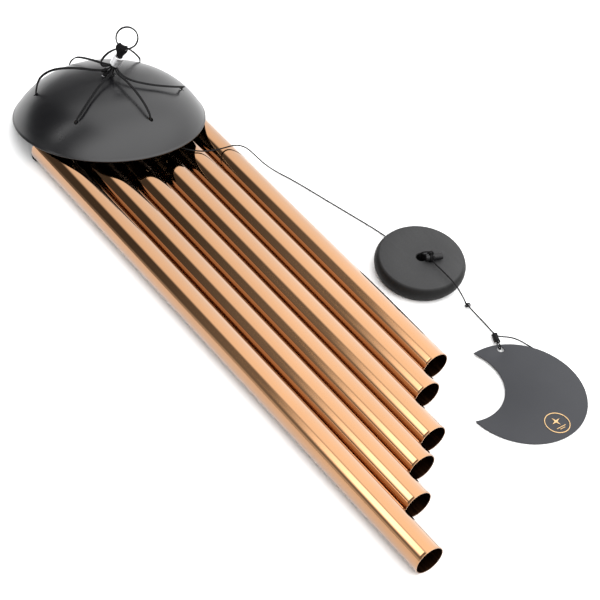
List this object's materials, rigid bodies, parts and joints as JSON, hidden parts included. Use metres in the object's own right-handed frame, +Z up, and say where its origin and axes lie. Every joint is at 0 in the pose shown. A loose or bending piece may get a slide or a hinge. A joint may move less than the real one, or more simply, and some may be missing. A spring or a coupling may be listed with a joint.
{
  "type": "wind chime",
  "caption": "Tuned tube wind chime with a dome top, hanging ring, knotted cords, round striker and crescent wind sail, laid out flat.",
  "frame": {"origin": "on the surface the chime lies on, under the middle of the box around the rigid parts", "axes": "+X across the row of tubes towards the striker, +Y along the tubes towards the dome, +Z up"},
  "size_m": [0.2498, 0.5981, 0.1017],
  "materials": {
    "tube_copper": "mirror-polished with a copper-coloured coat",
    "dome_black": "satin powder coat",
    "cord_black": "braided cord",
    "ring_black": "semi-gloss black plating",
    "sleeve_aluminium": "bright crimped",
    "striker_wood": "black-stained, fine grain",
    "toggle_black": "glossy",
    "sail_grey": "matt dark grey",
    "badge_gold": "polished thin foil"
  },
  "bodies": {
    "chime_top": {"dome": "dome_black", "crimp_sleeve": "sleeve_aluminium", "cord_bundle": "cord_black", "leg_cord_1": "cord_black", "leg_cord_2": "cord_black", "leg_cord_3": "cord_black", "leg_cord_4": "cord_black", "leg_cord_5": "cord_black", "leg_cord_6": "cord_black", "hanger_cord_1": "cord_black", "hanger_cord_2": "cord_black", "hanger_cord_3": "cord_black", "hanger_cord_4": "cord_black", "hanger_cord_5": "cord_black", "hanger_cord_6": "cord_black", "ring_cords": "cord_black"},
    "ring": {"hanging_ring": "ring_black"},
    "tube_1": {"tube_1": "tube_copper"},
    "tube_2": {"tube_2": "tube_copper"},
    "tube_3": {"tube_3": "tube_copper"},
    "tube_4": {"tube_4": "tube_copper"},
    "tube_5": {"tube_5": "tube_copper"},
    "tube_6": {"tube_6": "tube_copper"},
    "striker_line": {"striker_cord": "cord_black", "toggle_bead": "toggle_black", "toggle_hitch": "cord_black", "sail_cord": "cord_black", "mid_knot": "cord_black", "sail_cord_lower": "cord_black", "sail_knot": "cord_black", "sail_cord_tail": "cord_black", "sail_loop": "cord_black"},
    "striker": {"striker_disc": "striker_wood"},
    "sail": {"wind_sail": "sail_grey", "sail_badge": "badge_gold"}
  },
  "joints": [
    {"name": "ring_flap", "type": "hinge", "parent": "chime_top", "child": "ring", "pos_m": [-0.0346, 0.221, 0.0876], "axis": [-0.5657, 0.8039, 0.184], "range_deg": [-50, 50], "deforming": ["ring_cords"]},
    {"name": "tube_1_swing", "type": "hinge", "parent": "chime_top", "child": "tube_1", "pos_m": [0.0192, 0.2047, 0.0125], "axis": [1, 0, 0], "range_deg": [0, 92], "deforming": ["hanger_cord_1"]},
    {"name": "tube_2_swing", "type": "hinge", "parent": "chime_top", "child": "tube_2", "pos_m": [-0.0066, 0.2054, 0.0125], "axis": [1, 0, 0], "range_deg": [0, 92], "deforming": ["hanger_cord_2"]},
    {"name": "tube_3_swing", "type": "hinge", "parent": "chime_top", "child": "tube_3", "pos_m": [-0.0324, 0.2025, 0.0125], "axis": [1, 0, 0], "range_deg": [0, 92], "deforming": ["hanger_cord_3"]},
    {"name": "tube_4_swing", "type": "hinge", "parent": "chime_top", "child": "tube_4", "pos_m": [-0.0582, 0.2097, 0.0125], "axis": [1, 0, 0], "range_deg": [0, 92], "deforming": ["hanger_cord_4"]},
    {"name": "tube_5_swing", "type": "hinge", "parent": "chime_top", "child": "tube_5", "pos_m": [-0.084, 0.2096, 0.0125], "axis": [1, 0, 0], "range_deg": [0, 92], "deforming": ["hanger_cord_5"]},
    {"name": "tube_6_swing", "type": "hinge", "parent": "chime_top", "child": "tube_6", "pos_m": [-0.1098, 0.208, 0.0125], "axis": [1, 0, 0], "range_deg": [0, 92], "deforming": ["hanger_cord_6"]},
    {"name": "striker_line_sweep", "type": "hinge", "parent": "chime_top", "child": "striker_line", "pos_m": [-0.016, 0.146, 0.0288], "axis": [0, 0, 1], "range_deg": [0, 25], "deforming": ["striker_cord"]},
    {"name": "striker_spin", "type": "hinge", "parent": "striker_line", "child": "striker", "pos_m": [0.0871, -0.0515, 0.0035], "axis": [-0.0856, -0.0537, 0.9949], "continuous": true},
    {"name": "sail_flap", "type": "hinge", "parent": "striker_line", "child": "sail", "pos_m": [0.08799, -0.15307, 0.00243], "axis": [-0.9397, 0.3419, 0], "range_deg": [0, 60], "deforming": ["sail_loop"]}
  ]
}
